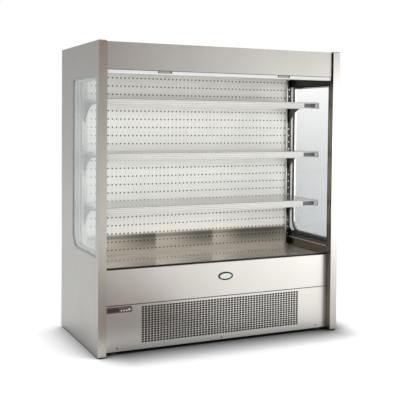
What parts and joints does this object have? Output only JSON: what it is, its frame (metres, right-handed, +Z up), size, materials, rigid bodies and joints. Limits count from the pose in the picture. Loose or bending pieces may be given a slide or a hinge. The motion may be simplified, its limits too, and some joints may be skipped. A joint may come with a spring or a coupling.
{
  "type": "open multideck display fridge",
  "caption": "Open-fronted refrigerated display cabinet with glazed ends, hooked shelves, ticket rails, a pull-down night blind and a punched front grille.",
  "frame": {"origin": "centre of the footprint, on the floor under the levelling feet", "axes": "+Z up, +X to the right as seen from the open front, +Y from the front to the back"},
  "size_m": [1.77, 0.87, 1.98],
  "materials": {
    "steel_skin": "fine brushed stainless steel",
    "bright_steel": "polished stainless steel",
    "galvanised": "galvanised sheet",
    "coil_metal": "rolled aluminium fins",
    "white_sheet": "satin white paint",
    "black_paint": "satin black paint",
    "white_plastic": "satin moulded plastic",
    "rail_plastic": "ribbed translucent extrusion",
    "grey_plastic": "satin moulded plastic",
    "black_plastic": "satin moulded plastic",
    "badge_plastic": "gloss moulded plastic",
    "black_rubber": "matt extruded rubber",
    "clear_glass": "clear sealed double pane",
    "blind_fabric": "coated woven blind cloth"
  },
  "bodies": {
    "cabinet": {"end_panel_left": "steel_skin", "end_panel_right": "steel_skin", "window_gasket_left": "black_rubber", "window_gasket_right": "black_rubber", "window_glass_left": "clear_glass", "window_glass_right": "clear_glass", "rear_wall": "steel_skin", "roof_panel": "steel_skin", "fascia": "steel_skin", "canopy_liner": "white_sheet", "air_outlet": "grey_plastic", "canopy_light": "white_plastic", "blind_cassette": "galvanised", "back_panel": "bright_steel", "upright_left": "galvanised", "upright_right": "galvanised", "return_air_strip": "galvanised", "evaporator_well": "white_plastic", "evaporator_coil": "coil_metal", "evaporator_fan_plate": "galvanised", "upper_front_panel": "steel_skin", "badge_blank": "badge_plastic", "lower_front_panel": "steel_skin", "controller": "black_plastic", "base_frame": "galvanised", "foot_1": "black_plastic", "foot_2": "black_plastic", "foot_3": "black_plastic", "foot_4": "black_plastic", "compressor": "black_paint", "condenser": "galvanised", "cable_gland": "black_plastic"},
    "blind_bar": {"blind_bar": "white_plastic", "blind_grip_left": "grey_plastic", "blind_grip_right": "grey_plastic", "blind_fabric": "blind_fabric"},
    "blind_roller": {"blind_roller": "blind_fabric"},
    "shelf_1": {"shelf_1": "bright_steel", "ticket_rail_1": "rail_plastic", "bracket_left_1": "galvanised", "bracket_right_1": "galvanised"},
    "shelf_2": {"shelf_2": "bright_steel", "ticket_rail_2": "rail_plastic", "bracket_left_2": "galvanised", "bracket_right_2": "galvanised"},
    "shelf_3": {"shelf_3": "bright_steel", "ticket_rail_3": "rail_plastic", "bracket_left_3": "galvanised", "bracket_right_3": "galvanised"},
    "deck_tray_1": {"deck_tray_1": "bright_steel"},
    "deck_tray_2": {"deck_tray_2": "bright_steel"},
    "deck_tray_3": {"deck_tray_3": "bright_steel"},
    "deck_tray_4": {"deck_tray_4": "bright_steel"},
    "evaporator_fan_1": {"evaporator_fan_1": "black_plastic"},
    "evaporator_fan_2": {"evaporator_fan_2": "black_plastic"},
    "condenser_fan": {"condenser_fan": "black_plastic"},
    "button_1": {"button_1": "white_plastic"},
    "button_2": {"button_2": "white_plastic"},
    "button_3": {"button_3": "white_plastic"},
    "button_4": {"button_4": "white_plastic"}
  },
  "joints": [
    {"name": "blind_slide", "type": "slide", "parent": "cabinet", "child": "blind_bar", "axis": [0, 0, -1], "range_m": [0, 1.2], "stiffness_N_per_m": 10, "springref_m": -2, "deforming": ["blind_fabric"]},
    {"name": "blind_roll", "type": "hinge", "parent": "cabinet", "child": "blind_roller", "pos_m": [0, -0.37, 1.856], "axis": [1, 0, 0], "range_deg": [0, 2870]},
    {"name": "shelf_1_lift", "type": "slide", "parent": "cabinet", "child": "shelf_1", "axis": [0, 0, 1], "range_m": [0, 0.009]},
    {"name": "shelf_2_lift", "type": "slide", "parent": "cabinet", "child": "shelf_2", "axis": [0, 0, 1], "range_m": [0, 0.009]},
    {"name": "shelf_3_lift", "type": "slide", "parent": "cabinet", "child": "shelf_3", "axis": [0, 0, 1], "range_m": [0, 0.009]},
    {"name": "deck_tray_1_lift", "type": "slide", "parent": "cabinet", "child": "deck_tray_1", "axis": [0, 0, 1], "range_m": [0, 0.05]},
    {"name": "deck_tray_2_lift", "type": "slide", "parent": "cabinet", "child": "deck_tray_2", "axis": [0, 0, 1], "range_m": [0, 0.05]},
    {"name": "deck_tray_3_lift", "type": "slide", "parent": "cabinet", "child": "deck_tray_3", "axis": [0, 0, 1], "range_m": [0, 0.05]},
    {"name": "deck_tray_4_lift", "type": "slide", "parent": "cabinet", "child": "deck_tray_4", "axis": [0, 0, 1], "range_m": [0, 0.05]},
    {"name": "evaporator_fan_1_spin", "type": "hinge", "parent": "cabinet", "child": "evaporator_fan_1", "pos_m": [-0.41, 0.08, 0.4545], "axis": [0, 1, 0], "continuous": true},
    {"name": "evaporator_fan_2_spin", "type": "hinge", "parent": "cabinet", "child": "evaporator_fan_2", "pos_m": [0.41, 0.08, 0.4545], "axis": [0, 1, 0], "continuous": true},
    {"name": "condenser_fan_spin", "type": "hinge", "parent": "cabinet", "child": "condenser_fan", "pos_m": [0.25, -0.215, 0.1848], "axis": [0, 1, 0], "continuous": true},
    {"name": "button_1_press", "type": "slide", "parent": "cabinet", "child": "button_1", "axis": [0, 1, 0], "range_m": [0, 0.0012], "stiffness_N_per_m": 300, "springref_m": -0.002},
    {"name": "button_2_press", "type": "slide", "parent": "cabinet", "child": "button_2", "axis": [0, 1, 0], "range_m": [0, 0.0012], "stiffness_N_per_m": 300, "springref_m": -0.002},
    {"name": "button_3_press", "type": "slide", "parent": "cabinet", "child": "button_3", "axis": [0, 1, 0], "range_m": [0, 0.0012], "stiffness_N_per_m": 300, "springref_m": -0.002},
    {"name": "button_4_press", "type": "slide", "parent": "cabinet", "child": "button_4", "axis": [0, 1, 0], "range_m": [0, 0.0012], "stiffness_N_per_m": 300, "springref_m": -0.002}
  ],
  "couplings": [
    {"joint": "blind_roll", "follows": "blind_slide", "rad_per_m": 41.667}
  ]
}
